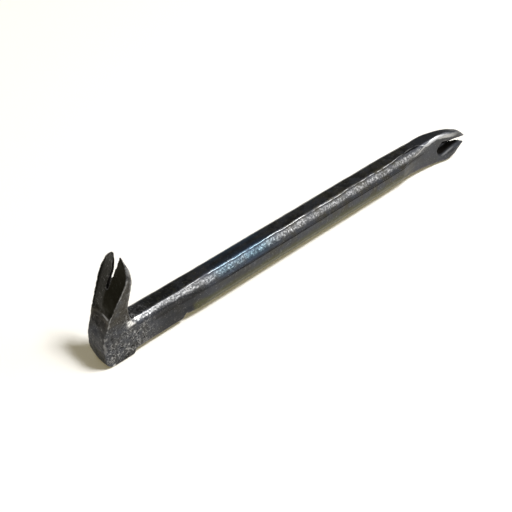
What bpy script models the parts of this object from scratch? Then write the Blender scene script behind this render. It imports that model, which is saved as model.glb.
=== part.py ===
"""Double-ended cat's paw nail puller, one steel forging.

A bar of octagon stock lies along +X. One end is squeezed narrow and turned up
into a hook claw over a heel with a flat striking face. The other end is
flattened into a straight claw, turned a quarter turn to the hook, that swings
out towards -Y. The origin is the centre of the striking face and +Z is up the
hook. Distances called "along" run from the back of the heel to the claw tips.
"""

from math import cos, pi, sin, sqrt

import bmesh
import bpy

MM = 0.001

# Octagon bar
OVERALL_LENGTH = 303.0 * MM
STOCK_FLATS = 19.0 * MM
AXIS_HEIGHT = 12.2 * MM

# Heel under the hook, with the striking face that takes the hammer
HEEL_WIDTH = 14.8 * MM
HEEL_DEPTH = 19.4 * MM
HEEL_ROUND = 5.0 * MM
HEEL_FRONT_BEVEL = 0.9 * MM
HEEL_CORNER = 0.5 * MM

# Neck, squeezed flat between the heel and the octagon
NECK_INSET = 0.1 * MM
NECK_TOP_CHAMFER = 3.0 * MM
NECK_CORNER = 0.6 * MM
NECK_END = 51.0 * MM
NECK_STEP = 2.4 * MM
NECK_TAPER = 20.0 * MM

# Hook claw, with its lean as shares of height against shares of reach and its
# widths as shares of the widest
HOOK_HEIGHT = 64.0 * MM
HOOK_REACH = 17.7 * MM
HOOK_LEAN_START = 19.0 * MM
HOOK_LEAN = ((0.0, 0.035), (0.24, 0.21), (0.43, 0.42), (0.62, 0.67), (0.74, 0.82), (0.85, 0.92))
HOOK_THROAT = 16.2 * MM
HOOK_THROAT_HEIGHT = 36.0 * MM
HOOK_ROOT_FILLET = 6.0 * MM
HOOK_WIDTH = 20.6 * MM
HOOK_WIDEST_HEIGHT = 52.0 * MM
HOOK_THROAT_SHARE = 0.82
HOOK_SHOULDER_SHARE = 0.8
HOOK_SIDE_FLARE = 1.1 * MM
HOOK_TINE_WIDTH = 1.5 * MM
HOOK_TIP_THICKNESS = 0.6 * MM
HOOK_CORNER = 0.3 * MM
HOOK_LEDGE_HEIGHT = 32.0 * MM
HOOK_LEDGE_RISE = 1.5 * MM
HOOK_DISH_DEPTH = 1.2 * MM
HOOK_CROWN = 0.7 * MM
HOOK_CROWN_SHAPE = ((0.2, 0.6), (0.45, 1.0))

# Slot between the hook's tines, opened out on the side that faces the bar
HOOK_SLOT_DEPTH = 18.5 * MM
HOOK_SLOT_MOUTH = 5.2 * MM
HOOK_SINK_DEPTH = 23.0 * MM
HOOK_SINK_RADIUS = 5.4 * MM
HOOK_THROAT_SLOT = 20.0 * MM
HOOK_THROAT_RADIUS = 2.8 * MM

# Straight claw. Its shapes are pairs of shares: how far on from the scoop to
# the end of the swing, from the scoop to the tips, or from the widest place to
# the tips, and how much of the full swing, thickness or width there
CLAW_LENGTH = 62.0 * MM
CLAW_WIDTH = 22.8 * MM
CLAW_WIDEST = 20.0 * MM
CLAW_ROOT_SHARE = 0.12
CLAW_TAPER_SHAPE = ((0.3, 0.93), (0.6, 0.66))
CLAW_SCOOP = 2.5 * MM
CLAW_SCOOP_RUN = 16.0 * MM
CLAW_SWING = 10.5 * MM
CLAW_SWING_RUN = 8.5 * MM
CLAW_SWING_SHAPE = ((0.33, 0.1), (0.64, 0.42), (0.88, 0.9))
CLAW_TIP_SWING = 9.6 * MM
CLAW_THICKNESS = 12.1 * MM
CLAW_THINNING = ((0.27, 0.94), (0.52, 0.71), (0.81, 0.46), (0.91, 0.33))
CLAW_TIP_THICKNESS = 0.6 * MM
CLAW_TIP_SPREAD = 7.6 * MM
CLAW_ROOT_BEVEL = 2.0 * MM
CLAW_BEVEL = 1.5 * MM
CLAW_TIP_CORNER = 0.2 * MM

# Slot in the straight claw: a leaf-shaped countersink on the near side that
# narrows through the thickness to a plain V on the far side
SINK_DEPTH = 24.6 * MM
SINK_RADIUS = 5.7 * MM
SINK_MOUTH = 6.2 * MM
THROAT_DEPTH = 20.4 * MM
THROAT_RADIUS = 3.0 * MM
THROAT_MOUTH = 6.0 * MM
VEE_DEPTH = 8.8 * MM
VEE_RADIUS = 0.4 * MM
VEE_MOUTH = 5.8 * MM

# How far the cutters run on past the surfaces they cut
CUTTER_OVERRUN = 6.0 * MM

STOCK_HALF = STOCK_FLATS / 2
STOCK_CHAMFER = STOCK_HALF * (2 - sqrt(2))
FACE_LENGTH = HEEL_DEPTH - HEEL_ROUND - HEEL_FRONT_BEVEL
HEEL_BACK = -(HEEL_ROUND + FACE_LENGTH / 2)
NECK_HALF = HEEL_WIDTH / 2 - NECK_INSET
BAR_TOP = AXIS_HEIGHT + STOCK_HALF
BAR_BOTTOM = AXIS_HEIGHT - STOCK_HALF
CLAW_START = OVERALL_LENGTH - CLAW_LENGTH


def along_to_x(along):
    return HEEL_BACK + along


def follow(stations, place):
    """Value at a place on a smooth curve through (place, value) stations."""
    if place <= stations[0][0]:
        return stations[0][1]
    if place >= stations[-1][0]:
        return stations[-1][1]
    rises = [(b[1] - a[1]) / (b[0] - a[0]) for a, b in zip(stations, stations[1:])]
    slopes = [rises[0]]
    for before, after in zip(rises, rises[1:]):
        turning = before * after <= 0
        slopes.append(0.0 if turning else 2 * before * after / (before + after))
    slopes.append(rises[-1])
    index = max(i for i in range(len(rises)) if stations[i][0] <= place)
    (start, low), (end, high) = stations[index], stations[index + 1]
    span = end - start
    t = (place - start) / span
    return (
        low * (2 * t**3 - 3 * t**2 + 1)
        + high * (3 * t**2 - 2 * t**3)
        + span * slopes[index] * (t**3 - 2 * t**2 + t)
        + span * slopes[index + 1] * (t**3 - t**2)
    )


def between(start, end, share):
    return start + (end - start) * share


def spread(start, end, count):
    """Evenly spaced places from start to end, both included."""
    return [start + (end - start) * i / (count - 1) for i in range(count)]


def loft(name, rings, collection):
    """Closed solid through rings that all have the same number of points."""
    shape = bmesh.new()
    loops = [[shape.verts.new(point) for point in ring] for ring in rings]
    for lower, upper in zip(loops, loops[1:]):
        for i in range(len(lower)):
            j = (i + 1) % len(lower)
            shape.faces.new((lower[i], lower[j], upper[j], upper[i]))
    shape.faces.new(loops[0])
    shape.faces.new(loops[-1])
    bmesh.ops.recalc_face_normals(shape, faces=shape.faces)
    mesh = bpy.data.meshes.new(name)
    shape.to_mesh(mesh)
    shape.free()
    solid = bpy.data.objects.new(name, mesh)
    collection.objects.link(solid)
    return solid


def bar_ring(along, near, far, half_height, top_chamfer, bottom_chamfer):
    """Chamfered rectangle across the bar, between its near (-Y) and far (+Y) sides."""
    limit = 0.45 * (far - near)
    top_chamfer = min(top_chamfer, limit)
    bottom_chamfer = min(bottom_chamfer, limit)
    x = along_to_x(along)
    top = AXIS_HEIGHT + half_height
    bottom = AXIS_HEIGHT - half_height
    return [
        (x, near, bottom + bottom_chamfer),
        (x, near + bottom_chamfer, bottom),
        (x, far - bottom_chamfer, bottom),
        (x, far, bottom + bottom_chamfer),
        (x, far, top - top_chamfer),
        (x, far - top_chamfer, top),
        (x, near + top_chamfer, top),
        (x, near, top - top_chamfer),
    ]


def claw_sides(along):
    """Near and far side of the straight claw, as distances from the bar's axis."""
    scooped = CLAW_START + CLAW_SCOOP_RUN
    swung = OVERALL_LENGTH - CLAW_SWING_RUN
    scoop_side = CLAW_SCOOP - STOCK_HALF
    near_side = [(CLAW_START, -STOCK_HALF), (scooped, scoop_side)]
    for place, share in CLAW_SWING_SHAPE:
        near_side.append((between(scooped, swung, place), between(scoop_side, -CLAW_SWING, share)))
    near_side += [
        (swung, -CLAW_SWING),
        (OVERALL_LENGTH, -CLAW_TIP_SWING - CLAW_TIP_THICKNESS / 2),
    ]
    thickness = [(CLAW_START, STOCK_FLATS), (scooped, CLAW_THICKNESS)]
    for place, share in CLAW_THINNING:
        thickness.append((between(scooped, OVERALL_LENGTH, place), share * CLAW_THICKNESS))
    thickness.append((OVERALL_LENGTH, CLAW_TIP_THICKNESS))
    near = follow(near_side, along)
    return near, near + follow(thickness, along)


def bar_rings():
    """Neck, octagon and straight claw, as rings from the heel to the claw tips."""
    taper_end = NECK_END + NECK_TAPER
    step_end = NECK_END + NECK_STEP
    scooped = CLAW_START + CLAW_SCOOP_RUN
    widest = OVERALL_LENGTH - CLAW_WIDEST
    claw_half = CLAW_WIDTH / 2
    tip_half = CLAW_TIP_SPREAD / 2
    half_side = [(NECK_END, NECK_HALF), (taper_end, STOCK_HALF)]
    half_height = [
        (CLAW_START, STOCK_HALF),
        (scooped, between(STOCK_HALF, claw_half, CLAW_ROOT_SHARE)),
        (widest, claw_half),
    ]
    for place, share in CLAW_TAPER_SHAPE:
        half_height.append((between(widest, OVERALL_LENGTH, place), between(tip_half, claw_half, share)))
    half_height.append((OVERALL_LENGTH, tip_half))
    claw_chamfer = [
        (CLAW_START, STOCK_CHAMFER),
        (scooped, CLAW_ROOT_BEVEL),
        (widest, CLAW_BEVEL),
        (OVERALL_LENGTH, CLAW_TIP_CORNER),
    ]
    top_chamfer = [(NECK_END, NECK_TOP_CHAMFER), (taper_end, STOCK_CHAMFER)]
    bottom_chamfer = [(NECK_END, NECK_CORNER), (step_end, STOCK_CHAMFER)]
    rings = []
    neck = [HEEL_DEPTH / 2, NECK_END, NECK_END + NECK_STEP / 2]
    for along in neck + spread(step_end, taper_end, 9):
        half = follow(half_side, along)
        top = follow(top_chamfer, along)
        bottom = follow(bottom_chamfer, along)
        rings.append(bar_ring(along, -half, half, STOCK_HALF, top, bottom))
    for along in spread(CLAW_START, widest, 22) + spread(widest, OVERALL_LENGTH, 16)[1:]:
        near, far = claw_sides(along)
        chamfer = follow(claw_chamfer, along)
        rings.append(bar_ring(along, near, far, follow(half_height, along), chamfer, chamfer))
    return rings


def hook_back(height):
    """How far along the back of the heel and hook lies at a height."""
    reach = HOOK_REACH - HOOK_TIP_THICKNESS
    rise = HOOK_HEIGHT - HOOK_LEAN_START
    curve = [(HEEL_ROUND, 0.0)]
    curve += [(HOOK_LEAN_START + share * rise, lean * reach) for share, lean in HOOK_LEAN]
    return follow(curve + [(HOOK_HEIGHT, reach)], height)


def hook_front(height):
    """How far along the side of the hook that faces the bar lies at a height."""
    root = BAR_TOP - HOOK_ROOT_FILLET / 2
    curve = [
        (BAR_BOTTOM, HEEL_DEPTH),
        (root, HOOK_THROAT + HOOK_ROOT_FILLET),
        (root + 0.85 * HOOK_ROOT_FILLET, HOOK_THROAT + HOOK_ROOT_FILLET / 2.5),
        (HOOK_THROAT_HEIGHT, HOOK_THROAT),
        (HOOK_WIDEST_HEIGHT, HOOK_REACH),
    ]
    return follow(curve, height)


def hook_ring(height, half_width, flare, corner, dish):
    """Section across the hook, with its back sunk in the middle by the dish.

    The flare is how much wider the section is at the front than at the back.
    """
    back = along_to_x(hook_back(height))
    front = along_to_x(hook_front(height))
    corner = min(corner, 0.3 * (front - back))
    dish = min(dish, 0.5 * (front - back))
    wide = half_width + flare
    return [
        (back, -half_width + corner, height),
        (back + corner, -half_width, height),
        (front - corner, -wide, height),
        (front, -wide + corner, height),
        (front, wide - corner, height),
        (front - corner, wide, height),
        (back + corner, half_width, height),
        (back, half_width - corner, height),
        (back + dish, 0.0, height),
    ]


def heel_ring(angle):
    """Section across the foot of the heel, at an angle up its rounded back edge."""
    height = HEEL_ROUND * (1 - cos(angle))
    back = along_to_x(HEEL_ROUND * (1 - sin(angle)))
    front = along_to_x(HEEL_DEPTH - max(HEEL_FRONT_BEVEL - height, 0.0))
    side = HEEL_WIDTH / 2
    inner = side - HEEL_CORNER
    return [
        (back, -inner, height),
        (back + HEEL_CORNER, -side, height),
        (front - HEEL_CORNER, -side, height),
        (front, -inner, height),
        (front, inner, height),
        (front - HEEL_CORNER, side, height),
        (back + HEEL_CORNER, side, height),
        (back, inner, height),
        (back, 0.0, height),
    ]


def hook_rings():
    """Heel and hook claw, as rings from the striking face up to the tips."""
    shoulder = between(HOOK_WIDEST_HEIGHT, HOOK_HEIGHT, 0.5)
    half_width = [
        (BAR_TOP, HEEL_WIDTH / 2),
        (HOOK_THROAT_HEIGHT, HOOK_THROAT_SHARE * HOOK_WIDTH / 2),
        (HOOK_WIDEST_HEIGHT, HOOK_WIDTH / 2),
        (shoulder, HOOK_SHOULDER_SHARE * HOOK_WIDTH / 2),
        (HOOK_HEIGHT, HOOK_SLOT_MOUTH / 2 + HOOK_TINE_WIDTH),
    ]
    flare = [
        (HOOK_THROAT_HEIGHT, 0.0),
        (HOOK_WIDEST_HEIGHT, HOOK_SIDE_FLARE / 4),
        (shoulder, HOOK_SIDE_FLARE),
        (HOOK_HEIGHT, HOOK_SIDE_FLARE / 2),
    ]
    corner = [(BAR_TOP, HEEL_CORNER), (HOOK_THROAT_HEIGHT, HOOK_CORNER)]
    ledge_foot = HOOK_LEDGE_HEIGHT - HOOK_LEDGE_RISE
    dish = [(ledge_foot, 0.0), (HOOK_LEDGE_HEIGHT, HOOK_DISH_DEPTH)]
    for place, share in HOOK_CROWN_SHAPE:
        dish.append((between(HOOK_LEDGE_HEIGHT, HOOK_HEIGHT, place), -share * HOOK_CROWN))
    dish.append((HOOK_HEIGHT, 0.0))
    heights = spread(HEEL_ROUND, BAR_TOP, 9) + spread(BAR_TOP, ledge_foot, 7)[1:]
    heights += spread(HOOK_LEDGE_HEIGHT, HOOK_HEIGHT, 25)
    rings = [heel_ring(angle) for angle in spread(0.0, pi / 2, 9)[:-1]]
    for height in heights:
        rings.append(
            hook_ring(
                height,
                follow(half_width, height),
                follow(flare, height),
                follow(corner, height),
                follow(dish, height),
            )
        )
    return rings


def pointed_slot(depth, mouth_half, fullness, overrun, steps=16):
    """Half outline of a pointed slot, from its mouth to its inner end.

    It gives (distance back from the tips, half width). A low fullness keeps
    the slot wide until close to its end, and overrun carries it past the tips.
    """
    outline = [(-overrun, mouth_half * (1 + fullness * overrun / depth))]
    for i in range(steps):
        share = (1 - i / steps) ** 2
        outline.append((depth * (1 - share), mouth_half * share**fullness))
    return outline + [(depth, 0.0)]


def round_slot(depth, radius, mouth_half, overrun, steps=8):
    """Half outline of a slot with a round inner end and bowed sides, as pointed_slot."""
    outline = [(-overrun, mouth_half)]
    centre = depth - radius
    for i in range(steps):
        share = i / steps
        bow = (1 - share) ** 1.8
        outline.append((centre * share, radius + (mouth_half - radius) * bow))
    for i in range(steps + 1):
        angle = 0.5 * pi * i / steps
        outline.append((centre + radius * sin(angle), radius * cos(angle)))
    return outline


def both_sides(outline):
    """Whole slot outline from its half: down one side and back up the other."""
    return outline + [(back, -half) for back, half in reversed(outline[:-1])]


def hook_slot_cutter(collection):
    """Slot between the hook's tines, wider at the front, where a nail head sits."""
    half = HOOK_SLOT_MOUTH / 2
    past = CUTTER_OVERRUN
    back = both_sides(pointed_slot(HOOK_SLOT_DEPTH, half, 0.5, past))
    middle = both_sides(round_slot(HOOK_THROAT_SLOT, HOOK_THROAT_RADIUS, half, past))
    front = both_sides(round_slot(HOOK_SINK_DEPTH, HOOK_SINK_RADIUS, half, past))
    levels = [(back, 0.0, -past), (back, 0.0, 0.0), (middle, 0.5, 0.0)]
    levels += [(front, 1.0, 0.0), (front, 1.0, past)]
    rings = []
    for outline, depth, offset in levels:
        ring = []
        for down, side in outline:
            height = HOOK_HEIGHT - down
            along = between(hook_back(height), hook_front(height), depth) + offset
            ring.append((along_to_x(along), side, height))
        rings.append(ring)
    return loft("hook_slot_cutter", rings, collection)


def claw_slot_cutter(collection):
    """Slot through the straight claw, following its near, middle and far surfaces."""
    past = CUTTER_OVERRUN
    near = both_sides(round_slot(SINK_DEPTH, SINK_RADIUS, SINK_MOUTH / 2, past))
    middle = both_sides(round_slot(THROAT_DEPTH, THROAT_RADIUS, THROAT_MOUTH / 2, past))
    far = both_sides(round_slot(VEE_DEPTH, VEE_RADIUS, VEE_MOUTH / 2, past))
    levels = [(near, 0.0, -past), (near, 0.0, 0.0), (middle, 0.5, 0.0)]
    levels += [(far, 1.0, 0.0), (far, 1.0, past)]
    rings = []
    for outline, depth, offset in levels:
        ring = []
        for back, side in outline:
            along = OVERALL_LENGTH - back
            y = between(*claw_sides(along), depth) + offset
            ring.append((along_to_x(along), y, AXIS_HEIGHT + side))
        rings.append(ring)
    return loft("claw_slot_cutter", rings, collection)


def steel():
    """Black oxide left by the forge, worn back to steel on the edges."""
    material = bpy.data.materials.new("forged_steel")
    material.use_nodes = True
    shader = material.node_tree.nodes["Principled BSDF"]
    shader.inputs["Base Color"].default_value = (0.045, 0.047, 0.052, 1.0)
    shader.inputs["Metallic"].default_value = 0.9
    shader.inputs["Roughness"].default_value = 0.42
    return material


def add_boolean(solid, other, operation):
    boolean = solid.modifiers.new(other.name, "BOOLEAN")
    boolean.operation = operation
    boolean.solver = "EXACT"
    boolean.object = other
    other.hide_render = True
    other.display_type = "WIRE"


for leftover in list(bpy.data.objects):
    bpy.data.objects.remove(leftover)

tool = bpy.data.collections.new("cats_paw")
cutters = bpy.data.collections.new("cutters")
bpy.context.scene.collection.children.link(tool)
bpy.context.scene.collection.children.link(cutters)

forging = loft("claw_bar", bar_rings(), tool)
add_boolean(forging, loft("hook_and_heel", hook_rings(), cutters), "UNION")
add_boolean(forging, hook_slot_cutter(cutters), "DIFFERENCE")
add_boolean(forging, claw_slot_cutter(cutters), "DIFFERENCE")
forging.data.materials.append(steel())
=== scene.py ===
"""Looks of a double-ended cat's paw nail puller, a single steel forging."""

from math import radians

import bmesh
import bpy
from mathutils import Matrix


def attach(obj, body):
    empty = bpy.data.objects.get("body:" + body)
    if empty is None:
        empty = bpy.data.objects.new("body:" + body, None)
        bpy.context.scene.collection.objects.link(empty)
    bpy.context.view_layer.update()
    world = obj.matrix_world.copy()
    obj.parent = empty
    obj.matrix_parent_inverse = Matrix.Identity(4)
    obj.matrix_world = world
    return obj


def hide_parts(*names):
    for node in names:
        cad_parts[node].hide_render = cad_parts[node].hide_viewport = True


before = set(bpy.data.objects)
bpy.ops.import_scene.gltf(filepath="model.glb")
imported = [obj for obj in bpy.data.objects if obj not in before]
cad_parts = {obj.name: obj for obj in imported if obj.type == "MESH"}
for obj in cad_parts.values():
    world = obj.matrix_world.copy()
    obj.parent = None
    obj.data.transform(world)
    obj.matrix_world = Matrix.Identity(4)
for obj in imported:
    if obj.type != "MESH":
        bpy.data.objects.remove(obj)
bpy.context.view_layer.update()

# The forging: the whole tool, drawn from one length of octagon bar. The ends are
# hammered to shape and slotted, then the steel is hardened and left with its
# black forge scale, which wears back to bright steel on the edges that get used.

AXIS_HEIGHT = 0.0122
FORGED_SIZES = {
    "Axis Height": AXIS_HEIGHT,
    # What hammer and furnace leave: long waves, short ones, scale and dents
    "Warp Depth": 0.0004,
    "Warp Size": 0.016,
    "Swell Depth": 0.00016,
    "Swell Size": 0.006,
    "Scale Depth": 0.00005,
    "Scale Size": 0.0018,
    "Dent Depth": 0.0005,
    "Dent Size": 0.0030,
    "Dent Reach": 0.021,
    # The hook's tines, its slot and the low spine up its back
    "Hook Stretch": 0.0004,
    "Tine Lean": 0.0009,
    "Tine Foot": 0.047,
    "Tine Top": 0.064,
    "Tine Fill": 0.0009,
    "Slot Close": 0.0011,
    "Near Close": 0.0009,
    "Flank Fill": 0.0004,
    "Spine Depth": 0.0009,
    "Spine Foot": 0.033,
    "Spine Half Width": 0.0085,
    # The straight claw's tips, slot and hollow
    "Claw Stretch": 0.0023,
    "Claw Close": 0.0014,
    "Claw Droop": 0.0008,
    "Claw Fill": 0.0011,
    "Hollow Reach": 0.0013,
    # The neck, the octagon's lower chamfers and the heel
    "Neck Reach": 0.0019,
    "Chamfer Crown": 0.0013,
    "Crown Start": 0.0007,
    "Heel Bulge": 0.0006,
    "Corner Draw": 0.0012,
}
ROUNDING_STEPS = {"Edge Rounding": 4, "Scoop Rounding": 70}
HEEL_CORNER = (-0.0117, 0.0074, 0.0005)
WELD_GAP = 0.00001
NOISE_MIDDLE = 0.5
NOISE_ROUGHNESS = 0.55

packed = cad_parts["claw_bar"]
shape = bmesh.new()
shape.from_mesh(packed.data)
bmesh.ops.remove_doubles(shape, verts=shape.verts, dist=WELD_GAP)
blank = bpy.data.meshes.new("forging_blank")
shape.to_mesh(blank)
shape.free()
blank_forging = bpy.data.objects.new("forging_blank", blank)
bpy.context.scene.collection.objects.link(blank_forging)

skin = bpy.data.node_groups.new("forged_skin", "GeometryNodeTree")
skin.is_modifier = True
skin.interface.new_socket("Geometry", in_out="INPUT", socket_type="NodeSocketGeometry")
for names, kind in ((FORGED_SIZES, "NodeSocketFloat"), (ROUNDING_STEPS, "NodeSocketInt")):
    for name in names:
        skin.interface.new_socket(name, in_out="INPUT", socket_type=kind)
skin.interface.new_socket("Heel Corner", in_out="INPUT", socket_type="NodeSocketVector")
skin.interface.new_socket("Steel", in_out="INPUT", socket_type="NodeSocketMaterial")
skin.interface.new_socket("Geometry", in_out="OUTPUT", socket_type="NodeSocketGeometry")


def node(tree, kind, inputs=None, **settings):
    """Adds a node. An input is a number, a vector or the socket that feeds it."""
    made = tree.nodes.new(kind)
    for name, value in settings.items():
        setattr(made, name, value)
    for name, value in (inputs or {}).items():
        if isinstance(value, bpy.types.NodeSocket):
            tree.links.new(value, made.inputs[name])
        else:
            made.inputs[name].default_value = value
    return made


def maths(tree, operation, *values):
    """One Math node on numbers or sockets."""
    return node(tree, "ShaderNodeMath", dict(enumerate(values)), operation=operation).outputs[0]


def in_turn(tree, operation, values):
    """The operation on the first two values, then on that and the third, and so on."""
    result = values[0]
    for value in values[1:]:
        result = maths(tree, operation, result, value)
    return result


def product(tree, *factors):
    """All the factors multiplied together."""
    return in_turn(tree, "MULTIPLY", factors)


def total(tree, *amounts):
    """All the amounts added together."""
    return in_turn(tree, "ADD", amounts)


def largest(tree, *values):
    """The largest of the values."""
    return in_turn(tree, "MAXIMUM", values)


def less(tree, value, amount):
    """The value without the amount."""
    return maths(tree, "SUBTRACT", value, amount)


def vectors(tree, operation, *values):
    """One Vector Math node, giving its vector, or its number where it measures."""
    made = node(tree, "ShaderNodeVectorMath", dict(enumerate(values)), operation=operation)
    return made.outputs["Value" if operation in ("DOT_PRODUCT", "DISTANCE") else "Vector"]


def scaled(tree, vector, amount):
    """The vector made as many times longer as the amount."""
    inputs = {0: vector, "Scale": amount}
    return node(tree, "ShaderNodeVectorMath", inputs, operation="SCALE").outputs["Vector"]


def joined(tree, **lengths):
    """The vector with these lengths along X, Y and Z."""
    return node(tree, "ShaderNodeCombineXYZ", lengths).outputs[0]


def split(tree, vector):
    """The vector's X, Y and Z."""
    return node(tree, "ShaderNodeSeparateXYZ", {0: vector}).outputs


def ease(tree, value, low_reflection, high, start=0.0, end=1.0):
    """Goes smoothly from start to end while the value goes from low to high."""
    inputs = {"Value": value, "From Min": low_reflection, "From Max": high, "To Min": start, "To Max": end}
    return node(tree, "ShaderNodeMapRange", inputs, interpolation_type="SMOOTHSTEP").outputs["Result"]


def fade(tree, value, low_reflection, high, end=0.0):
    """Goes smoothly from one to the end while the value goes from low to high."""
    return ease(tree, value, low_reflection, high, 1.0, end)


def noise(tree, place, size, detail, output="Fac"):
    """Noise whose lumps are about as far apart as the size."""
    scale = maths(tree, "DIVIDE", 1.0, size)
    inputs = {"Vector": place, "Scale": scale, "Detail": detail, "Roughness": NOISE_ROUGHNESS}
    return node(tree, "ShaderNodeTexNoise", inputs).outputs[output]


def ripple(tree, place, size, detail, depth):
    """Noise about nought, which pushes up and down by half the depth."""
    return product(tree, less(tree, noise(tree, place, size, detail), NOISE_MIDDLE), depth)


def softened(field, steps):
    """The field averaged over its neighbours a number of times."""
    inputs = {"Value": field, "Iterations": steps}
    return node(skin, "GeometryNodeBlurAttribute", inputs, data_type="FLOAT_VECTOR").outputs[0]


def between(share, first, second):
    """The vector that goes from the first to the second with the share."""
    made = node(skin, "ShaderNodeMix", {0: share}, data_type="VECTOR")
    skin.links.new(first, made.inputs[4])
    skin.links.new(second, made.inputs[5])
    return made.outputs[1]


def moved(geometry, **where):
    """The geometry with its points at a new Position, or pushed by an Offset."""
    return node(skin, "GeometryNodeSetPosition", {"Geometry": geometry, **where}).outputs[0]


given = node(skin, "NodeGroupInput").outputs
place = node(skin, "GeometryNodeInputPosition").outputs[0]
normal = node(skin, "GeometryNodeInputNormal").outputs[0]
at = split(skin, place)
facing = split(skin, normal)
backwards = product(skin, facing["X"], -1.0)
off_side = maths(skin, "ABSOLUTE", at["Y"])
over_axis = less(skin, at["Z"], given["Axis Height"])

# Worn edges: the sharp corners of the blank are drawn in to a small radius, the
# start of the scoop to a larger one, and the four tips half as much. The tips
# are drawn on a little past the blank's.
CLAW_TIPS = (0.280, 0.286)
HOOK_TIPS = (0.054, 0.060)
TIP_SHARE = 0.5
SCOOP_START = (0.230, 0.238)
SCOOP_END = (0.258, 0.264)
SCOOP_SIDE = (-0.005, -0.0065)
SCOOP_TOP = (0.0185, 0.0195)
SCOOP_BOTTOM = (0.0070, 0.0090)
CLAW_DRAWN = (0.280, 0.291)
HOOK_DRAWN = (0.052, 0.064)

tips = largest(skin, ease(skin, at["X"], *CLAW_TIPS), ease(skin, at["Z"], *HOOK_TIPS))
scoop = product(
    skin, ease(skin, at["X"], *SCOOP_START), fade(skin, at["X"], *SCOOP_END),
    ease(skin, at["Y"], *SCOOP_SIDE), fade(skin, at["Z"], *SCOOP_TOP),
    ease(skin, at["Z"], *SCOOP_BOTTOM),
)
all_worn = between(
    scoop, softened(place, given["Edge Rounding"]), softened(place, given["Scoop Rounding"])
)
worn_place = between(product(skin, tips, TIP_SHARE), all_worn, place)
stretch = joined(
    skin, X=product(skin, ease(skin, at["X"], *CLAW_DRAWN), given["Claw Stretch"]),
    Z=product(skin, ease(skin, at["Z"], *HOOK_DRAWN), given["Hook Stretch"]),
)
rounded = moved(given["Geometry"], Position=vectors(skin, "ADD", worn_place, stretch))

# Forging is never quite true: the faces wander a little, but not the foot that
# the tool stands on
FLAT_FOOT = (0.0002, 0.003)
WARP_DETAIL = 1.0

foot = ease(skin, at["Z"], *FLAT_FOOT)
push = noise(skin, place, given["Warp Size"], WARP_DETAIL, "Color")
drift = vectors(skin, "SUBTRACT", push, (NOISE_MIDDLE,) * 3)
wander = scaled(skin, scaled(skin, drift, given["Warp Depth"]), foot)

# The hook's tines lean to the near side and came out a little fuller than the
# blank's: thicker towards the bar, closer at the slot, and the near one wider
# on its flank
HOOK_REACH = (0.022, 0.030)
FACES_BAR = (0.10, 0.60)
FULL_FOOT = (0.028, 0.042)
FULL_TOP = (0.058, 0.0635, 0.3)
FAR_HALF = (0.0, 0.0003)
FAR_TINE = (0.0010, 0.0085)
FAR_CLOSE_FOOT = (0.046, 0.056)
FLANK_SIDE = (-0.0095, -0.0040)
FLANK_FOOT = (0.036, 0.046)
FLANK_TOP = (0.052, 0.060)
NEAR_HALF = (-0.0003, 0.0)
NEAR_TINE = (-0.0070, -0.0010)
NEAR_CLOSE_FOOT = (0.044, 0.051)
NEAR_CLOSE_TOP = (0.056, 0.0625)

by_hook = fade(skin, at["X"], *HOOK_REACH)
up_tine = ease(skin, at["Z"], given["Tine Foot"], given["Tine Top"])
lean = product(skin, by_hook, up_tine, given["Tine Lean"])
fuller = product(
    skin, by_hook, ease(skin, facing["X"], *FACES_BAR), ease(skin, at["Z"], *FULL_FOOT),
    fade(skin, at["Z"], *FULL_TOP), given["Tine Fill"],
)
far_closer = product(
    skin, by_hook, ease(skin, at["Y"], *FAR_HALF), fade(skin, at["Y"], *FAR_TINE),
    ease(skin, at["Z"], *FAR_CLOSE_FOOT), given["Slot Close"],
)
wider = product(
    skin, by_hook, fade(skin, at["Y"], *FLANK_SIDE), ease(skin, at["Z"], *FLANK_FOOT),
    fade(skin, at["Z"], *FLANK_TOP), given["Flank Fill"],
)
near_closer = product(
    skin, by_hook, fade(skin, at["Y"], *NEAR_HALF), ease(skin, at["Y"], *NEAR_TINE),
    ease(skin, at["Z"], *NEAR_CLOSE_FOOT), fade(skin, at["Z"], *NEAR_CLOSE_TOP), given["Near Close"],
)
to_near = total(skin, lean, far_closer, less(skin, wider, near_closer))

# The straight claw's upper tip droops and closes the slot on its side, the lower
# tip is rounder, and the hollow's end reaches further up the bar
CLAW_CLOSE_START = (0.270, 0.279)
UPPER_HALF = (0.0, 0.0003)
UPPER_TINE = (0.0010, 0.0080)
DROOP_START = (0.2855, 0.2915)
LOWER_TINE_START = (0.268, 0.279)
LOWER_TINE_END = (0.2825, 0.2905)
LOWER_TINE_EDGE = (-0.0080, -0.0020)
LOWER_TINE_ON = 0.4
HOLLOW_START = (0.2630, 0.2690)
HOLLOW_END = (0.2710, 0.2800)
HOLLOW_HALF = (0.0, 0.0060)
HOLLOW_SIDE = (-0.0070, -0.0045)

in_upper_half = ease(skin, over_axis, *UPPER_HALF)
upper_closer = product(
    skin, ease(skin, at["X"], *CLAW_CLOSE_START), in_upper_half,
    fade(skin, over_axis, *UPPER_TINE), given["Claw Close"],
)
droop = product(skin, ease(skin, at["X"], *DROOP_START), in_upper_half, given["Claw Droop"])
rounder = product(
    skin, ease(skin, at["X"], *LOWER_TINE_START), fade(skin, at["X"], *LOWER_TINE_END),
    fade(skin, over_axis, *LOWER_TINE_EDGE), given["Claw Fill"],
)
hollow_reach = product(
    skin, ease(skin, at["X"], *HOLLOW_START), fade(skin, at["X"], *HOLLOW_END),
    fade(skin, maths(skin, "ABSOLUTE", over_axis), *HOLLOW_HALF), fade(skin, at["Y"], *HOLLOW_SIDE),
    given["Hollow Reach"],
)

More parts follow.
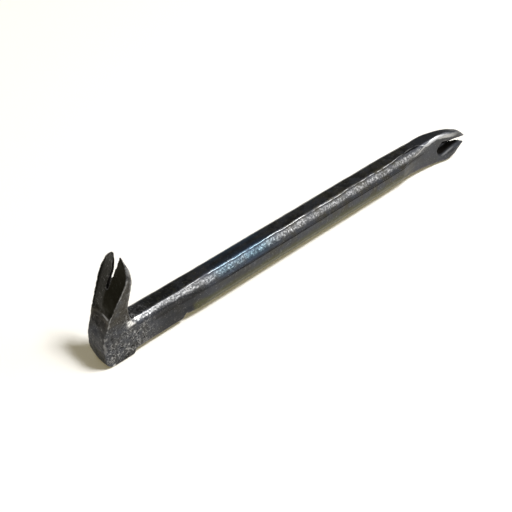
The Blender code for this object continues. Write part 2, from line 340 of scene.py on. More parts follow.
# The neck's step stands further on, and the octagon's lower chamfers, which
# widen out of it, are crowned along their middle
STEP_START = (0.031, 0.0385)
STEP_END = (0.046, 0.064)
STEP_TOP = (0.009, 0.014)
CHAMFER_NARROWS = (0.0417, 0.0593, 0.0024, 0.0)
CHAMFER_DEPTH = (0.0122, 0.0133)
CHAMFER_HALF = (0.0010, 0.0056)
CROWN_BEGINS = (0.0394, 0.0440)
CROWN_SETTLES = (0.049, 0.060)
CROWN_ENDS = (0.222, 0.242)
SLANT = 0.707

step_reach = product(
    skin, ease(skin, at["X"], *STEP_START), fade(skin, at["X"], *STEP_END),
    fade(skin, at["Z"], *STEP_TOP), given["Neck Reach"],
)
under_axis = product(skin, over_axis, -1.0)
out_of_chamfer = total(skin, under_axis, off_side, ease(skin, at["X"], *CHAMFER_NARROWS))
off_crest = maths(skin, "ABSOLUTE", less(skin, under_axis, off_side))
crown_start = product(skin, fade(skin, at["X"], *CROWN_SETTLES), given["Crown Start"])
crown = product(
    skin, ease(skin, out_of_chamfer, *CHAMFER_DEPTH), fade(skin, off_crest, *CHAMFER_HALF),
    ease(skin, at["X"], *CROWN_BEGINS), fade(skin, at["X"], *CROWN_ENDS), SLANT,
    total(skin, given["Chamfer Crown"], crown_start),
)
crown_outwards = product(skin, crown, maths(skin, "SIGN", at["Y"]))

# The heel's back swells a little, and its far lower corner is drawn in
FACES_BACK = (0.3, 0.8)
BULGE_FOOT = (0.006, 0.012)
BULGE_TOP = (0.018, 0.026)
CORNER_ROUND = (0.0010, 0.0080)
CORNER_LIFT = 0.6

bulge = product(
    skin, ease(skin, backwards, *FACES_BACK), ease(skin, at["Z"], *BULGE_FOOT),
    fade(skin, at["Z"], *BULGE_TOP), given["Heel Bulge"],
)
from_corner = vectors(skin, "DISTANCE", place, given["Heel Corner"])
drawn_in = product(skin, fade(skin, from_corner, *CORNER_ROUND), given["Corner Draw"])

onwards = total(skin, fuller, step_reach, product(skin, rounder, LOWER_TINE_ON))
downwards = total(skin, upper_closer, droop, rounder, crown)
shift = joined(
    skin, X=total(skin, less(skin, onwards, total(skin, hollow_reach, bulge)), drawn_in),
    Y=less(skin, crown_outwards, total(skin, to_near, drawn_in)),
    Z=less(skin, product(skin, drawn_in, CORNER_LIFT), downwards),
)
bent = moved(rounded, Offset=vectors(skin, "ADD", wander, shift))

# The hook's back is two leaves that meet at a low spine below the slot
FACES_SQUARE_BACK = (0.66, 0.84)
SPINE_RISE = 0.003

to_back = ease(skin, backwards, *FACES_SQUARE_BACK)
off_spine = maths(skin, "DIVIDE", off_side, given["Spine Half Width"])
spine_top = total(skin, given["Spine Foot"], SPINE_RISE)
up_spine = ease(skin, at["Z"], given["Spine Foot"], spine_top)
leaves = product(skin, off_spine, given["Spine Depth"], to_back, up_spine)

# Hammer dents round the heel and hook, forge scale all over
SWELL_DETAIL = 1.0
SCALE_DETAIL = 2.0
DENT_SOFTNESS = 0.6
DENT_LEVEL = 0.45
DENT_FADE = 0.008
DENTS_ON_BAR = 0.12
DENT_TOP = (0.026, 0.040, 0.25)

swell = ripple(skin, place, given["Swell Size"], SWELL_DETAIL, given["Swell Depth"])
scale = ripple(skin, place, given["Scale Size"], SCALE_DETAIL, given["Scale Depth"])
dent_scale = maths(skin, "DIVIDE", 1.0, given["Dent Size"])
cells = node(
    skin, "ShaderNodeTexVoronoi", {"Vector": place, "Scale": dent_scale, "Smoothness": DENT_SOFTNESS},
    feature="SMOOTH_F1",
).outputs["Distance"]
dent_start = less(skin, given["Dent Reach"], DENT_FADE)
hammered_end = product(
    skin, fade(skin, at["X"], dent_start, given["Dent Reach"], DENTS_ON_BAR),
    fade(skin, at["Z"], *DENT_TOP),
)
dents = product(skin, less(skin, cells, DENT_LEVEL), given["Dent Depth"], hammered_end)
relief = product(skin, less(skin, total(skin, swell, scale, dents), leaves), foot)
forged = moved(bent, Offset=scaled(skin, normal, relief))

# What the finish reads at each point: how many millimetres it stands out of the
# faces around it, whether it is on the back, and whether it faces into a slot
WEAR_STEPS = 14
MILLIMETRES = 1000.0
FACES_HOOK_SLOT = (0.15, 0.45)
HOOK_SLOT_FOOT = (0.030, 0.033)
FACES_CLAW_SLOT = (0.10, 0.40)
CLAW_SLOT_START = (0.264, 0.266)

stands_out = vectors(skin, "SUBTRACT", place, softened(place, WEAR_STEPS))
proud = product(skin, vectors(skin, "DOT_PRODUCT", stands_out, normal), MILLIMETRES)
into_hook_slot = product(skin, facing["Y"], -1.0, maths(skin, "SIGN", at["Y"]))
in_hook_slot = product(
    skin, ease(skin, into_hook_slot, *FACES_HOOK_SLOT), ease(skin, at["Z"], *HOOK_SLOT_FOOT)
)
into_claw_slot = product(skin, facing["Z"], -1.0, maths(skin, "SIGN", over_axis))
in_claw_slot = product(
    skin, ease(skin, into_claw_slot, *FACES_CLAW_SLOT), ease(skin, at["X"], *CLAW_SLOT_START)
)
inward = largest(skin, in_hook_slot, in_claw_slot)
for name, value in (("proud", proud), ("to_back", to_back), ("inward", inward)):
    inputs = {"Geometry": forged, "Name": name, "Value": value}
    forged = node(
        skin, "GeometryNodeStoreNamedAttribute", inputs, data_type="FLOAT", domain="POINT"
    ).outputs[0]
smooth = node(skin, "GeometryNodeSetShadeSmooth", {"Geometry": forged})
whole = node(skin, "GeometryNodeRealizeInstances", {"Geometry": smooth.outputs[0]})
dressed = node(
    skin, "GeometryNodeSetMaterial", {"Geometry": whole.outputs[0], "Material": given["Steel"]}
)
node(skin, "NodeGroupOutput", {"Geometry": dressed.outputs[0]})

# The finish of the steel, and the painted shade and highlights laid on it, in the order that they lie
# over each other
OXIDE = (0.058, 0.061, 0.070)
# A near black, for real pits and also for the painted shade below
PIT_AND_SHADE = (0.008, 0.007, 0.006)
WOBBLE_DETAIL = 3.0

steel = bpy.data.materials.new("forged_steel")
steel.use_nodes = True
finish = steel.node_tree
shader = finish.nodes["Principled BSDF"]
here = node(finish, "ShaderNodeTexCoord").outputs["Object"]
there = split(finish, here)
edge = node(finish, "ShaderNodeAttribute", attribute_name="proud").outputs["Fac"]
back = node(finish, "ShaderNodeAttribute", attribute_name="to_back").outputs["Fac"]
slots = node(finish, "ShaderNodeAttribute", attribute_name="inward").outputs["Fac"]


def blend(tree, share, first, second):
    """Colour that goes from the first to the second with the share."""
    made = node(tree, "ShaderNodeMix", {0: share}, data_type="RGBA")
    for index, paint in ((6, first), (7, second)):
        if isinstance(paint, bpy.types.NodeSocket):
            tree.links.new(paint, made.inputs[index])
        else:
            made.inputs[index].default_value = (*paint, 1.0)
    return made.outputs[2]


def band(tree, value, middle, half, soft):
    """One where the value is within half of the middle, then fades to nought."""
    off = maths(tree, "ABSOLUTE", less(tree, value, middle))
    return fade(tree, off, half, half + soft)


def wobbled(value, size, depth):
    """The value pushed up and down by noise over the steel."""
    return total(finish, value, ripple(finish, here, size, WOBBLE_DETAIL, depth))


def mottle(size, detail, *levels):
    """Patches of noise over the steel, which come up between two of its levels."""
    return ease(finish, noise(finish, here, size, detail), *levels)


# How far round the bar a place is: below nought on the side flats, nought along
# the middle of the upper chamfers, above nought on the top flat
AROUND_WANDER = (0.010, 0.0022)
AROUND_RAGGED = (0.0028, 0.0009)
BAR_START = (0.017, 0.023)
BAR_END = (0.246, 0.258)

across = maths(finish, "ABSOLUTE", there["Y"])
above_axis = less(finish, there["Z"], AXIS_HEIGHT)
around = wobbled(wobbled(less(finish, above_axis, across), *AROUND_WANDER), *AROUND_RAGGED)
off_neck = ease(finish, there["X"], *BAR_START)
on_bar = product(finish, off_neck, fade(finish, there["X"], *BAR_END))

# The scale is blue-black, with olive patches that grow along the bar and a
# browner tone up the hook's flank
OLIVE_OXIDE = (0.058, 0.053, 0.038)
OLIVE_PATCHES = (0.008, 4.0, 0.40, 0.64)
OLIVE_GROWTH = (0.05, 0.17, 0.35, 0.85)
OLIVE_END = (0.232, 0.250, 0.30)
FLANK_OXIDE = (0.046, 0.042, 0.034)
FLANK_EDGE = (0.010, 0.014)
FLANK_BROWN_FOOT = (0.022, 0.030)
FLANK_BROWN_TOP = (0.046, 0.058, 0.35)
FLANK_CLOUDS = (0.005, 4.0, 0.25, 0.6)

olive = product(
    finish, mottle(*OLIVE_PATCHES), ease(finish, there["X"], *OLIVE_GROWTH),
    fade(finish, there["X"], *OLIVE_END),
)
flank = product(
    finish, fade(finish, there["X"], *FLANK_EDGE), ease(finish, there["Z"], *FLANK_BROWN_FOOT),
    fade(finish, there["Z"], *FLANK_BROWN_TOP), mottle(*FLANK_CLOUDS),
)
colour = blend(finish, olive, OXIDE, OLIVE_OXIDE)
colour = blend(finish, flank, colour, FLANK_OXIDE)

# The hook's back is painted dark, as painted shade and a painted reflection of the shadowed floor that
# it faces: darkest in a leaf on the near half, browner on the far half
BACK_SHADE = (0.0125, 0.0115, 0.0078)
LEAF_SHADE = (0.010, 0.009, 0.005)
BACK_EDGE = (0.009, 0.013)
BACK_FOOT = (0.031, 0.034)
LEAF_RAGGED = (0.006, 0.0016)
LEAF_EDGE = (0.0002, 0.0009)

on_back = product(
    finish, back, fade(finish, there["X"], *BACK_EDGE), ease(finish, there["Z"], *BACK_FOOT)
)
leaf = product(finish, on_back, fade(finish, wobbled(there["Y"], *LEAF_RAGGED), *LEAF_EDGE))
colour = blend(finish, on_back, colour, BACK_SHADE)
colour = blend(finish, leaf, colour, LEAF_SHADE)

# The heel is struck and rough: painted shade darkens its back, which is turned from the lamp, it is
# pitted, and painted shade darkens its foot by the floor
HEEL_BACK_EDGE = (-0.004, 0.0)
HEEL_BACK_TOP = (0.024, 0.031)
HEEL_BACK_SHARE = 0.40
STRUCK_END = (0.010, 0.026)
STRUCK_TOP = (0.022, 0.034, 0.25)
STRUCK_BACK = (0.2, 0.8, 0.25)
PITS = (0.0026, 4.0, 0.50, 0.64)
PIT_SHARE = 0.72
FOOT_RAGGED = (0.004, 0.0012)
FOOT_TOP = (0.0028, 0.0046)
FOOT_START = (-0.0070, -0.0045)
FOOT_END = (0.012, 0.016)
FOOT_SHARE = 0.50

heel_back_shade = product(
    finish, back, fade(finish, there["X"], *HEEL_BACK_EDGE), fade(finish, there["Z"], *HEEL_BACK_TOP)
)
colour = blend(finish, product(finish, heel_back_shade, HEEL_BACK_SHARE), colour, PIT_AND_SHADE)
struck = product(
    finish, fade(finish, there["X"], *STRUCK_END), fade(finish, there["Z"], *STRUCK_TOP),
    fade(finish, back, *STRUCK_BACK),
)
colour = blend(finish, product(finish, struck, mottle(*PITS), PIT_SHARE), colour, PIT_AND_SHADE)
heel_foot_shade = product(
    finish, fade(finish, wobbled(there["Z"], *FOOT_RAGGED), *FOOT_TOP),
    ease(finish, there["X"], *FOOT_START), fade(finish, there["X"], *FOOT_END),
)
colour = blend(finish, product(finish, heel_foot_shade, FOOT_SHARE), colour, PIT_AND_SHADE)

# Across the hook's back a band of painted shade lies under the ledge, and the shelf between them is
# painted a little paler, as painted light on its upward face
LIT_SHELF = (0.22, 0.20, 0.17)
LEDGE_REACH = (0.0, 0.004)
UNDER_LEDGE_RAGGED = (0.004, 0.003)
UNDER_LEDGE_BAND = (0.0285, 0.0018, 0.0016)
UNDER_LEDGE_SIDES = (0.0048, 0.0066)
UNDER_LEDGE_SHARE = 0.8
SHELF_BAND = (0.0313, 0.0008, 0.0008)
SHELF_SHARE = 0.12

by_ledge = product(finish, back, fade(finish, there["X"], *LEDGE_REACH))
under_ledge_shade = product(
    finish, by_ledge, band(finish, wobbled(there["Z"], *UNDER_LEDGE_RAGGED), *UNDER_LEDGE_BAND),
    fade(finish, across, *UNDER_LEDGE_SIDES), UNDER_LEDGE_SHARE,
)
lit_shelf = product(finish, by_ledge, band(finish, there["Z"], *SHELF_BAND), SHELF_SHARE)
colour = blend(finish, under_ledge_shade, colour, PIT_AND_SHADE)
colour = blend(finish, lit_shelf, colour, LIT_SHELF)

# The neck's sides are darker, and the bar's top is mottled
TOP_OLIVE = (0.085, 0.080, 0.052)
NECK_SIDE_START = (0.021, 0.030)
NECK_SIDE_END = (0.044, 0.062)
NECK_SIDE_TOP = (-0.0045, -0.0015)
NECK_SIDE_SHARE = 0.46
TOP_EDGE = (0.0050, 0.0062)
TOP_START = (0.018, 0.024)
TOP_END = (0.235, 0.255)
TOP_DARK = (0.0060, 4.0, 0.42, 0.60)
TOP_DARK_SHARE = 0.60
TOP_PALE = (0.0024, 4.0, 0.50, 0.66)
TOP_PALE_SHARE = 0.50

neck_side = product(
    finish, ease(finish, there["X"], *NECK_SIDE_START), fade(finish, there["X"], *NECK_SIDE_END),
    fade(finish, around, *NECK_SIDE_TOP), NECK_SIDE_SHARE,
)
colour = blend(finish, neck_side, colour, PIT_AND_SHADE)
bar_top = product(
    finish, ease(finish, around, *TOP_EDGE), ease(finish, there["X"], *TOP_START),
    fade(finish, there["X"], *TOP_END),
)
colour = blend(finish, product(finish, bar_top, mottle(*TOP_DARK), TOP_DARK_SHARE), colour, PIT_AND_SHADE)
colour = blend(finish, product(finish, bar_top, mottle(*TOP_PALE), TOP_PALE_SHARE), colour, TOP_OLIVE)

# A painted reflection of the floor's shadow under the bar: olive on the lower chamfer, which reaches a
# little up the sides
LOW_FLOOR_REFLECTION = (0.088, 0.087, 0.044)
LOW_RAGGED = (0.005, 0.0016)
LOW_TOP = (-0.0040, 0.0004)
LOW_START = (0.0465, 0.0500)
LOW_END = (0.222, 0.245)
LOW_SHARE = 0.85

low_reflection = product(
    finish, fade(finish, wobbled(above_axis, *LOW_RAGGED), *LOW_TOP),
    ease(finish, there["X"], *LOW_START), fade(finish, there["X"], *LOW_END), LOW_SHARE,
)
colour = blend(finish, low_reflection, colour, LOW_FLOOR_REFLECTION)

# Temper colours where the bar was heated for hardening
BLUED = (0.040, 0.066, 0.105)
TEMPER_START = (0.056, 0.076)
TEMPER_END = (0.098, 0.122)
TEMPER_LOW = (-0.007, -0.002)
TEMPER_HIGH = (0.0065, 0.0105)
TEMPER_CLOUDS = (0.012, 2.0, 0.12, 0.56)
TEMPER_SHARE = 0.75

tempered = product(
    finish, ease(finish, there["X"], *TEMPER_START), fade(finish, there["X"], *TEMPER_END),
    ease(finish, around, *TEMPER_LOW), fade(finish, around, *TEMPER_HIGH), mottle(*TEMPER_CLOUDS),
)
colour = blend(finish, product(finish, tempered, TEMPER_SHARE), colour, BLUED)

# The ridge between chamfer and top is a bright line, fainter beside the neck,
# which climbs before the straight claw and turns down where the claw starts.
# The chamfer below it is darker.
RIDGE_CLIMB = (0.214, 0.241, 0.0046, 0.0068)
RIDGE_DIP = (0.2475, 0.2545, 0.0, 0.0046)
RIDGE_END = (0.252, 0.255)
RIDGE_LINE = (0.0, 0.00008, 0.00030)
RIDGE_BREAKS = (0.006, 3.0, 0.36, 0.55)
RIDGE_BRIGHTENS = (0.045, 0.090, 0.45, 1.0)
RIDGE_SHARE = 0.7
CHAMFER_LOW = (-0.0058, -0.0048)
CHAMFER_HIGH = (-0.0002, 0.0008)
CHAMFER_END = (0.244, 0.252, 0.5)
CHAMFER_SHARE = 0.45

ridge_rise = ease(finish, there["X"], *RIDGE_CLIMB)
off_ridge = less(finish, around, less(finish, ridge_rise, ease(finish, there["X"], *RIDGE_DIP)))
ridge_reach = product(finish, off_neck, fade(finish, there["X"], *RIDGE_END))
ridge = product(
    finish, ridge_reach, band(finish, off_ridge, *RIDGE_LINE), mottle(*RIDGE_BREAKS),
    ease(finish, there["X"], *RIDGE_BRIGHTENS), RIDGE_SHARE,
)
chamfer = product(
    finish, ridge_reach, ease(finish, around, *CHAMFER_LOW), fade(finish, off_ridge, *CHAMFER_HIGH),
    fade(finish, there["X"], *CHAMFER_END), CHAMFER_SHARE,
)
colour = blend(finish, chamfer, colour, PIT_AND_SHADE)

# A painted sheen of the lamp along the upper chamfer, in glints; flecks of bright steel; and worn edges
# elsewhere, which are fewer low down
SHEEN_PLACE = (0.028, 0.062, 0.0030, 0.0004)
SHEEN_BAND = (0.0, 0.0008, 0.0028)
GLINTS = (0.0012, 3.0, 0.44, 0.64)
SHEEN_LEAST = 0.12
SHEEN_GLINTS = 0.42
EDGE_NOISE = (0.0022, 3.0)
EDGE_NOISE_SHARE = 0.20
EDGE_WEAR = (0.33, 0.48)
EDGE_BREAKS = (0.004, 2.0, 0.30, 0.6)
EDGE_LOW = (0.012, 0.022, 0.45, 1.0)
EDGES_ON_BAR = 0.9
EDGE_SHARE = 0.38
FLECKS = (0.0010, 3.0, 0.58, 0.72)
FLECK_SHARE = 0.14
STRUCK_FLECK_SHARE = 0.30

off_sheen = less(finish, around, ease(finish, there["X"], *SHEEN_PLACE))
sheen_strip = product(finish, on_bar, band(finish, off_sheen, *SHEEN_BAND))
glints = mottle(*GLINTS)
glints_in_sheen = total(finish, SHEEN_LEAST, product(finish, glints, SHEEN_GLINTS))
painted_sheen = product(finish, sheen_strip, glints_in_sheen)
edge_noise = product(finish, noise(finish, here, *EDGE_NOISE), EDGE_NOISE_SHARE)
worn_edge = product(
    finish, ease(finish, total(finish, edge, edge_noise), *EDGE_WEAR),
    less(finish, 1.0, product(finish, on_bar, EDGES_ON_BAR)), mottle(*EDGE_BREAKS),
    ease(finish, there["Z"], *EDGE_LOW), EDGE_SHARE,
)
fleck_share = total(finish, FLECK_SHARE, product(finish, struck, STRUCK_FLECK_SHARE))
flecks = product(finish, mottle(*FLECKS), fleck_share)

# The heel's curled and specked smears of bright steel, fewer on the smooth patch
# up its back, with a glint at the near end of its foot
CURL_NOISE = (0.0036, 6.0)
CURL_LINE = (0.003, 0.024)
CURL_BREAKS = (0.0052, 3.0, 0.44, 0.58, 0.12, 1.0)
SPECKS = (0.0017, 4.0, 0.57, 0.68)
SMOOTH_EDGE = (-0.0010, 0.0035)
SMOOTH_RAGGED = (0.005, 0.003)
SMOOTH_FOOT = (0.0145, 0.0180)
SMOOTH_SHARE = 0.85
SMEAR_FOOT = (0.0025, 0.0045, 0.15, 0.52)
CORNER_BAND = (-0.0073, 0.0005, 0.0006)
CORNER_TOP = (0.0014, 0.0022)
CORNER_SIDE = (-0.0066, -0.0071)
CORNER_SHARE = 0.8

curl = maths(finish, "ABSOLUTE", less(finish, noise(finish, here, *CURL_NOISE), NOISE_MIDDLE))
curls = product(finish, fade(finish, curl, *CURL_LINE), mottle(*CURL_BREAKS))
smooth_patch = product(
    finish, fade(finish, there["X"], *SMOOTH_EDGE),
    ease(finish, wobbled(there["Z"], *SMOOTH_RAGGED), *SMOOTH_FOOT), SMOOTH_SHARE,
)
smears = product(
    finish, largest(finish, curls, mottle(*SPECKS)), less(finish, 1.0, smooth_patch), struck,
    ease(finish, there["Z"], *SMEAR_FOOT),
)
corner_glint = product(
    finish, band(finish, there["X"], *CORNER_BAND), fade(finish, there["Z"], *CORNER_TOP),
    ease(finish, there["Y"], *CORNER_SIDE), CORNER_SHARE,
)

# The bright lip of the ledge on the hook's back, and two painted highlights: a white glint on the near
# side of the hook's root, and a sheen along the neck's top edge
LEDGE_RAGGED = (0.006, 0.0014)
LEDGE_BAND = (0.0322, 0.0002, 0.0005)
LEDGE_SIDES = (0.0060, 0.0072)
LEDGE_FAR_END = (-0.0020, 0.0005)
LEDGE_SHARE = 0.5
ROOT_ALONG = (0.0085, 0.0030, 0.0035)
ROOT_UP = (0.0226, 0.0014, 0.0016)
ROOT_SIDE = (-0.0036, -0.0050)
ROOT_BREAKS = (0.0022, 2.0, 0.36, 0.5)
ROOT_GLINTS = (0.0, 0.6, 0.6, 1.6)
NECK_ALONG = (0.0150, 0.0050, 0.0120)
NECK_BAND = (0.0030, 0.0009, 0.0012)
NECK_START = (0.009, 0.012)
NECK_GLINTS = (0.0009, 3.0, 0.46, 0.64, 0.05, 0.75)

ledge = product(
    finish, by_ledge, band(finish, wobbled(there["Z"], *LEDGE_RAGGED), *LEDGE_BAND),
    fade(finish, across, *LEDGE_SIDES), fade(finish, there["Y"], *LEDGE_FAR_END), LEDGE_SHARE,
)
root = product(
    finish, band(finish, there["X"], *ROOT_ALONG), band(finish, there["Z"], *ROOT_UP),
    ease(finish, there["Y"], *ROOT_SIDE), mottle(*ROOT_BREAKS),
)
root_highlight = product(finish, root, ease(finish, glints, *ROOT_GLINTS))
neck_shine = product(
    finish, band(finish, there["X"], *NECK_ALONG), band(finish, around, *NECK_BAND),
    mottle(*NECK_GLINTS), ease(finish, there["X"], *NECK_START),
)

# A painted highlight along the straight claw's upper bevel, which curves down out of the ridge and thins
# towards the tip, and a painted highlight on the lip of the hollow
BEVEL_RISE = (0.242, 0.2545, -0.0016, 0.0019)
BEVEL_CREST = (0.2545, 0.262, 0.0, 0.0013)
BEVEL_FALL = (0.263, 0.282, 0.0, 0.0056)
BEVEL_WIDENS = (0.249, 0.258, 0.35, 1.0)
BEVEL_BAND = (0.0, 0.0009, 0.0013)
BEVEL_START = (0.2405, 0.2450)
BEVEL_END = (0.273, 0.286, 0.75, 0.10)
BEVEL_SIDE = (-0.004, -0.005)
BEVEL_FOOT = (0.0150, 0.0165)
LIP_BAND = (-0.0088, 0.00020, 0.00045)
LIP_START = (0.270, 0.273)
LIP_END = (0.280, 0.286)
LIP_SHARE = 0.26

bevel_line = less(
    finish,
    total(finish, ease(finish, there["X"], *BEVEL_RISE), ease(finish, there["X"], *BEVEL_CREST)),
    ease(finish, there["X"], *BEVEL_FALL),
)
off_bevel = maths(
    finish, "DIVIDE", less(finish, around, bevel_line), ease(finish, there["X"], *BEVEL_WIDENS)
)
bevel_highlight = product(
    finish, band(finish, off_bevel, *BEVEL_BAND), ease(finish, there["X"], *BEVEL_START),
    ease(finish, there["X"], *BEVEL_END), ease(finish, there["Y"], *BEVEL_SIDE),
    ease(finish, there["Z"], *BEVEL_FOOT),
)
lip_highlight = product(
    finish, slots, band(finish, there["Y"], *LIP_BAND), ease(finish, there["X"], *LIP_START),
    fade(finish, there["X"], *LIP_END), LIP_SHARE,
)

# All the bright steel, worn edges and painted highlights together, tinted by the temper colours, and
# little of it on the painted shade of the leaf
BRIGHT_STEEL_AND_HIGHLIGHT = (0.58, 0.58, 0.58)
PALE_BLUED = (0.34, 0.50, 0.58)
GLINT_WHITE = (0.90, 0.90, 0.90)
LEAF_KEEPS = 0.85

wear_and_highlights = largest(
    finish, ridge, painted_sheen, worn_edge, root_highlight, ledge, bevel_highlight, smears, lip_highlight, flecks,
    neck_shine, corner_glint,
)
wear_and_highlights_off_leaf = product(finish, wear_and_highlights, less(finish, 1.0, product(finish, leaf, LEAF_KEEPS)))
steel_colour = blend(finish, tempered, BRIGHT_STEEL_AND_HIGHLIGHT, PALE_BLUED)
steel_colour = blend(finish, largest(finish, root, neck_shine), steel_colour, GLINT_WHITE)
colour = blend(finish, wear_and_highlights_off_leaf, colour, steel_colour)

# The dark crease under the upper chamfer
SEAM_RAGGED = (0.012, 0.0006)
SEAM_LINE = (0.01585, 0.00012, 0.00030)
SEAM_START = (0.060, 0.080)
SEAM_END = (0.248, 0.254)
SEAM_SIDE = (-0.004, -0.006)
SEAM_BREAKS = (0.009, 2.0, 0.24, 0.40)

seam = product(
    finish, band(finish, wobbled(there["Z"], *SEAM_RAGGED), *SEAM_LINE),
    ease(finish, there["X"], *SEAM_START), fade(finish, there["X"], *SEAM_END),
    ease(finish, there["Y"], *SEAM_SIDE), mottle(*SEAM_BREAKS),
)
colour = blend(finish, seam, colour, PIT_AND_SHADE)

# Inside the slots the colour is painted black and the steel is dull: painted shade deep in the straight
# claw's hollow and all through the hook's slot
CLAW_SLOT_DEEP = (-0.0086, -0.0072)
ALL_OF_HOOK = (0.10, 0.12)

deep_slot_shade = largest(finish, ease(finish, there["Y"], *CLAW_SLOT_DEEP), fade(finish, there["X"], *ALL_OF_HOOK))
colour = blend(finish, product(finish, slots, deep_slot_shade), colour, PIT_AND_SHADE)
finish.links.new(colour, shader.inputs["Base Color"])
shader.inputs["Metallic"].default_value = 1.0

# The scale's dull grain, rougher along the painted sheen of the upper chamfer and where the steel is
# struck, calmer on the straight claw, and cut by the crease
ROUGH_LEAST = 0.33
ROUGH_NOISE = (0.0016, 3.0)
ROUGH_NOISE_SHARE = 0.22
SLOT_ROUGH = 0.35
FINE_GRIT = (0.0009, 3.0)
COARSE_GRIT = (0.0022, 2.0)
COARSE_SHARE = 1.4
SHEEN_GRIT = 1.6
STRUCK_GRIT = 1.6
CLAW_CALM = (0.246, 0.256, 0.8, 0.35)
SEAM_CUT = 3.0
GRIT_DEPTH = 0.00007

rough = total(
    finish, ROUGH_LEAST, product(finish, noise(finish, here, *ROUGH_NOISE), ROUGH_NOISE_SHARE),
    product(finish, slots, SLOT_ROUGH),
)
finish.links.new(rough, shader.inputs["Roughness"])
coarse = product(finish, noise(finish, here, *COARSE_GRIT), COARSE_SHARE)
grit = total(finish, noise(finish, here, *FINE_GRIT), coarse)
rugged = total(finish, product(finish, sheen_strip, SHEEN_GRIT), product(finish, struck, STRUCK_GRIT))
grit_share = total(finish, ease(finish, there["X"], *CLAW_CALM), rugged)
grain = less(finish, product(finish, grit, grit_share), product(finish, seam, SEAM_CUT))
bump = node(finish, "ShaderNodeBump", {"Strength": 1.0, "Distance": GRIT_DEPTH, "Height": grain})
finish.links.new(bump.outputs[0], shader.inputs["Normal"])

# The blank gets an even mesh and its forged skin, and becomes the piece
SKIN_CELL = 0.00052

even = blank_forging.modifiers.new("even_skin", "REMESH")
even.mode = "VOXEL"
even.voxel_size = SKIN_CELL
hammered = blank_forging.modifiers.new("forged_skin", "NODES")
hammered.node_group = skin
skin_inputs = {**FORGED_SIZES, **ROUNDING_STEPS, "Heel Corner": HEEL_CORNER, "Steel": steel}
for socket in skin.interface.items_tree:
    if socket.in_out == "INPUT" and socket.name in skin_inputs:
        hammered[socket.identifier] = skin_inputs[socket.name]

bpy.context.view_layer.update()
shaped = blank_forging.evaluated_get(bpy.context.evaluated_depsgraph_get())
forging_mesh = bpy.data.meshes.new_from_object(shaped)
forging = bpy.data.objects.new("forging", forging_mesh)
bpy.context.scene.collection.objects.link(forging)
bpy.data.objects.remove(blank_forging)

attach(forging, "root")
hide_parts("claw_bar")

# The floor: a wide sheet of pale paper, plain and matt. It is white to the
# camera and in reflections, also far off, and keeps the tool's shadow.

FLOOR_HALF = 3.0
FLOOR_DROP = 0.0002
PAPER = (0.86, 0.85, 0.84)
PAPER_ROUGH = 0.9
PAPER_GLOSS = 0.1
PAPER_GLOW = (1.0, 0.80, 0.25)
PAPER_LIFT = 0.13
FAR_GLOW = (1.0, 1.0, 1.0)
FAR_LIFT = 0.80
NEAR_FLOOR = 0.45
FAR_FLOOR = 2.2

sheet = bmesh.new()
corners = ((-1, -1), (1, -1), (1, 1), (-1, 1))
sheet.faces.new([sheet.verts.new((FLOOR_HALF * x, FLOOR_HALF * y, -FLOOR_DROP)) for x, y in corners])
paper_mesh = bpy.data.meshes.new("floor")
sheet.to_mesh(paper_mesh)
sheet.free()
floor = bpy.data.objects.new("floor", paper_mesh)
bpy.context.scene.collection.objects.link(floor)
paper = bpy.data.materials.new("pale_paper")
paper.use_nodes = True
pulp = paper.node_tree
paper_shader = pulp.nodes["Principled BSDF"]
paper_shader.inputs["Base Color"].default_value = (*PAPER, 1.0)
paper_shader.inputs["Roughness"].default_value = PAPER_ROUGH
paper_shader.inputs["Specular IOR Level"].default_value = PAPER_GLOSS
ray = node(pulp, "ShaderNodeLightPath").outputs
looked_at = largest(pulp, ray["Is Camera Ray"], ray["Is Glossy Ray"], ray["Is Transmission Ray"])
on_floor = node(pulp, "ShaderNodeTexCoord").outputs["Object"]
squared = vectors(pulp, "DOT_PRODUCT", on_floor, on_floor)
far_off = ease(pulp, squared, NEAR_FLOOR ** 2, FAR_FLOOR ** 2)
lift = product(pulp, looked_at, ease(pulp, far_off, 0.0, 1.0, PAPER_LIFT, FAR_LIFT))
glow = blend(pulp, far_off, PAPER_GLOW, FAR_GLOW)
pulp.links.new(glow, paper_shader.inputs["Emission Color"])
pulp.links.new(lift, paper_shader.inputs["Emission Strength"])
paper_mesh.materials.append(paper)

# The light: one large soft lamp like a window to the right of the camera, weak
# ones low at the side and overhead, and a dim room with low white walls.

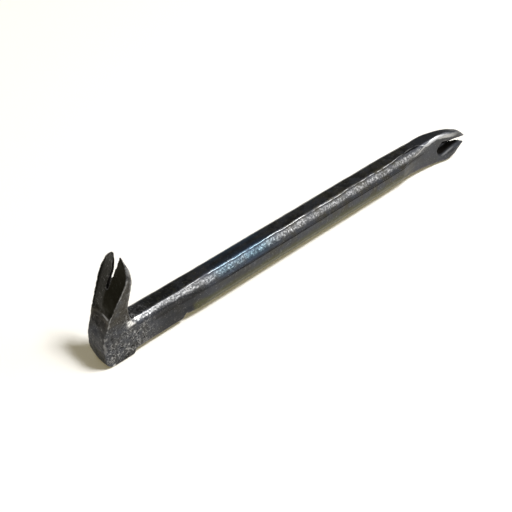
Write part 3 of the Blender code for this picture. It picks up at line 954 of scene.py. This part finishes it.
KEY_PLACE = (1.25, -1.32, 3.20)
KEY_SIZE = 0.95
KEY_POWER = 150.0
SIDE_PLACE = (0.95, -0.80, 0.72)
SIDE_SIZE = 0.6
SIDE_POWER = 2.2
FILL_PLACE = (-0.5, 0.1, 1.3)
FILL_SIZE = 1.0
FILL_POWER = 1.2
BAR_MIDDLE = (0.13, 0.0, 0.01)
ROOM = (0.098, 0.096, 0.091)
WALL = (1.0, 1.0, 1.0)
WALL_TOP = (0.20, 0.28)


def soft_lamp(name, place, size, power):
    """A square soft lamp that is turned to the middle of the bar."""
    lamp = bpy.data.lights.new(name, "AREA")
    lamp.shape = "SQUARE"
    lamp.size = size
    lamp.energy = power
    stand = bpy.data.objects.new(name, lamp)
    bpy.context.scene.collection.objects.link(stand)
    stand.location = place
    aim = stand.location.copy()
    for axis in range(3):
        aim[axis] -= BAR_MIDDLE[axis]
    stand.rotation_euler = aim.to_track_quat("Z", "Y").to_euler()


soft_lamp("window_light", KEY_PLACE, KEY_SIZE, KEY_POWER)
soft_lamp("side_light", SIDE_PLACE, SIDE_SIZE, SIDE_POWER)
soft_lamp("overhead_light", FILL_PLACE, FILL_SIZE, FILL_POWER)
room = bpy.data.worlds.new("dim_room")
room.use_nodes = True
air = room.node_tree
way = split(air, node(air, "ShaderNodeTexCoord").outputs["Generated"])
walls = blend(air, ease(air, way["Z"], *WALL_TOP), WALL, ROOM)
air.links.new(walls, air.nodes["Background"].inputs["Color"])
bpy.context.scene.world = room

# The camera: where the photograph was taken from, looking down along the bar
# from over the hook.

CAMERA_PLACE = (-0.2030, -0.3135, 0.3599)
CAMERA_ELEVATION = 38.74
CAMERA_AZIMUTH = -44.37
CAMERA_LENS = 67.3
SENSOR_WIDTH = 36.0
NEAREST_SEEN = 0.01
STRAIGHT_DOWN = 90.0

lens = bpy.data.cameras.new("photo_camera")
lens.lens = CAMERA_LENS
lens.sensor_width = SENSOR_WIDTH
lens.clip_start = NEAREST_SEEN
camera = bpy.data.objects.new("photo_camera", lens)
camera.location = CAMERA_PLACE
camera.rotation_euler = (
    radians(STRAIGHT_DOWN - CAMERA_ELEVATION), 0.0, radians(CAMERA_AZIMUTH)
)
bpy.context.scene.collection.objects.link(camera)
bpy.context.scene.camera = camera
bpy.context.scene.view_settings.view_transform = "Standard"
